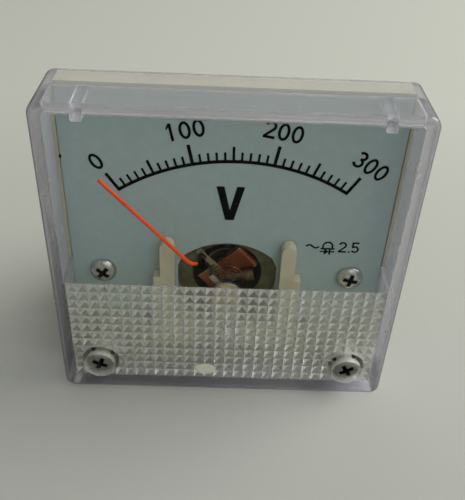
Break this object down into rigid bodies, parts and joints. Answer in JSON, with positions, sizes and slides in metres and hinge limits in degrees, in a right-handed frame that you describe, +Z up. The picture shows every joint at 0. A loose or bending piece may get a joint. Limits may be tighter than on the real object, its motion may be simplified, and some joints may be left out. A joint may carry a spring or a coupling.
{
  "type": "analog panel meter",
  "caption": "Square moving-coil panel meter with a clear cover, curved volt scale, orange pointer, round rear barrel and screw terminals.",
  "frame": {"origin": "centre of the four mounting studs, which is behind the face's centre, in the plane where the flange meets the panel", "axes": "+X to the right and +Z up as seen from the front; the dial faces -Y and the barrel runs along +Y"},
  "size_m": [0.065, 0.0553, 0.063],
  "materials": {
    "clear_cover": "clear polished styrene",
    "cream_plastic": "moulded cream plastic",
    "screw_steel": "bright zinc plate",
    "dial_paint": "matt pale blue-grey",
    "dial_ink": "matt black ink",
    "frame_plastic": "moulded cream plastic",
    "yoke_iron": "dark olive lacquer",
    "cage_aluminium": "pressed sheet",
    "magnet": "dark ground alloy",
    "bridge_metal": "bright nickel plate",
    "jewel_brass": "plain turned",
    "lever_metal": "bright sheet",
    "spring_bronze": "phosphor bronze",
    "former_aluminium": "bare foil",
    "winding_copper": "enamelled copper wire",
    "staff_steel": "polished",
    "cross_aluminium": "bare sheet",
    "weight_brass": "plain wire",
    "pointer_paint": "orange-red paint on thin aluminium tube",
    "board_paper": "resin-bonded paper",
    "resistor_coat": "lacquer",
    "diode_plastic": "moulded epoxy",
    "terminal_brass": "plain turned",
    "washer_steel": "zinc plate"
  },
  "bodies": {
    "case": {"front_cover": "clear_cover", "cover_prisms": "clear_cover", "rear_case": "cream_plastic", "cover_screw_left": "screw_steel", "cover_screw_right": "screw_steel", "dial_plate": "dial_paint", "dial_scale": "dial_ink", "dial_figures": "dial_ink", "dial_letter": "dial_ink", "dial_symbols": "dial_ink", "dial_screw_left": "screw_steel", "dial_screw_right": "screw_steel", "movement_frame": "frame_plastic", "yoke_ring": "yoke_iron", "core_cage": "cage_aluminium", "core_magnet": "magnet", "front_bridge": "bridge_metal", "front_bridge_screw": "screw_steel", "front_jewel_screw": "jewel_brass", "front_jewel_nut": "jewel_brass", "rear_bridge": "bridge_metal", "rear_bridge_screws": "screw_steel", "rear_jewel_screw": "jewel_brass", "rear_jewel_nut": "jewel_brass", "circuit_board": "board_paper", "series_resistor": "resistor_coat", "rectifier_diodes": "diode_plastic", "terminal_stud_left": "terminal_brass", "terminal_stud_right": "terminal_brass", "board_nuts": "terminal_brass", "terminal_washers": "washer_steel", "lock_washers": "washer_steel", "terminal_nuts": "terminal_brass", "mounting_studs": "washer_steel"},
    "zero_lever": {"zero_lever": "lever_metal"},
    "moving_element": {"front_hairspring": "spring_bronze", "rear_hairspring": "spring_bronze", "coil_former": "former_aluminium", "coil_winding": "winding_copper", "front_pivot": "staff_steel", "rear_pivot": "staff_steel", "balance_cross": "cross_aluminium", "balance_weights": "weight_brass", "pointer": "pointer_paint"}
  },
  "joints": [
    {"name": "zero_set", "type": "hinge", "parent": "case", "child": "zero_lever", "pos_m": [0, -0.0075, -0.01], "axis": [0, 1, 0], "range_deg": [-4, 4]},
    {"name": "pointer_swing", "type": "hinge", "parent": "zero_lever", "child": "moving_element", "pos_m": [0, -0.0075, -0.01], "axis": [0, 1, 0], "range_deg": [-5, 89], "stiffness_Nm_per_rad": 0.00005, "deforming": ["front_hairspring", "rear_hairspring"]}
  ]
}
